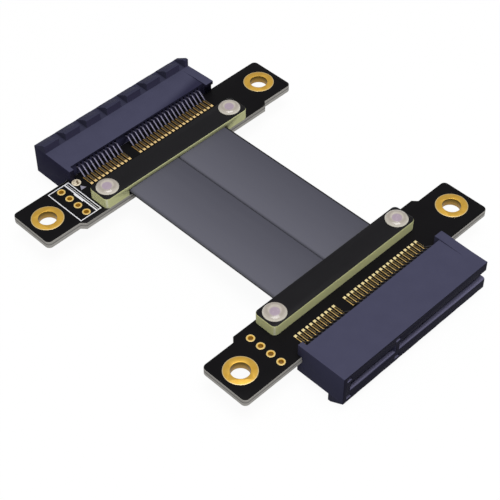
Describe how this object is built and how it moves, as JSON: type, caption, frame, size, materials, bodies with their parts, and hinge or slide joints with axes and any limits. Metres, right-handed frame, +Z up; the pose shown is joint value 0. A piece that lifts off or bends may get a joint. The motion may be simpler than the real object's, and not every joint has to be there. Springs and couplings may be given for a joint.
{
  "type": "expansion slot jumper cable",
  "caption": "Flat jumper cable: two grey ribbons joining two black circuit boards that each carry an open-ended card slot.",
  "frame": {"origin": "middle of the bounding box in plan, at the level of the lowest ribs of the turned-over slot", "axes": "+X along both slots, from the end with the header holes to the open end of the slots; +Y along the ribbons towards the board that shows its ribbed slot upwards; +Z up"},
  "size_m": [0.0666, 0.0846, 0.0104],
  "materials": {
    "board": "matte",
    "housing": "satin",
    "strip": "matte",
    "ribbon": "matte",
    "rivet": "gloss",
    "contact": "satin",
    "gold_plating": "satin",
    "solder": "satin"
  },
  "bodies": {
    "root": {"board_a": "board", "slot_housing_a": "housing", "contacts_ribbed_short_a": "contact", "contacts_ribbed_long_a": "contact", "contacts_plain_short_a": "contact", "contacts_plain_long_a": "contact", "mount_sleeve_left_a": "gold_plating", "mount_sleeve_right_a": "gold_plating", "header_sleeves_a": "gold_plating", "cover_strip_a": "strip", "rivet_left_a": "rivet", "rivet_right_a": "rivet", "solder_bar_left_a": "solder", "solder_bar_right_a": "solder", "board_b": "board", "slot_housing_b": "housing", "contacts_ribbed_short_b": "contact", "contacts_ribbed_long_b": "contact", "contacts_plain_short_b": "contact", "contacts_plain_long_b": "contact", "mount_sleeve_left_b": "gold_plating", "mount_sleeve_right_b": "gold_plating", "header_sleeves_b": "gold_plating", "cover_strip_b": "strip", "rivet_left_b": "rivet", "rivet_right_b": "rivet", "solder_bar_left_b": "solder", "solder_bar_right_b": "solder", "ribbon_left": "ribbon", "ribbon_right": "ribbon"}
  },
  "joints": []
}
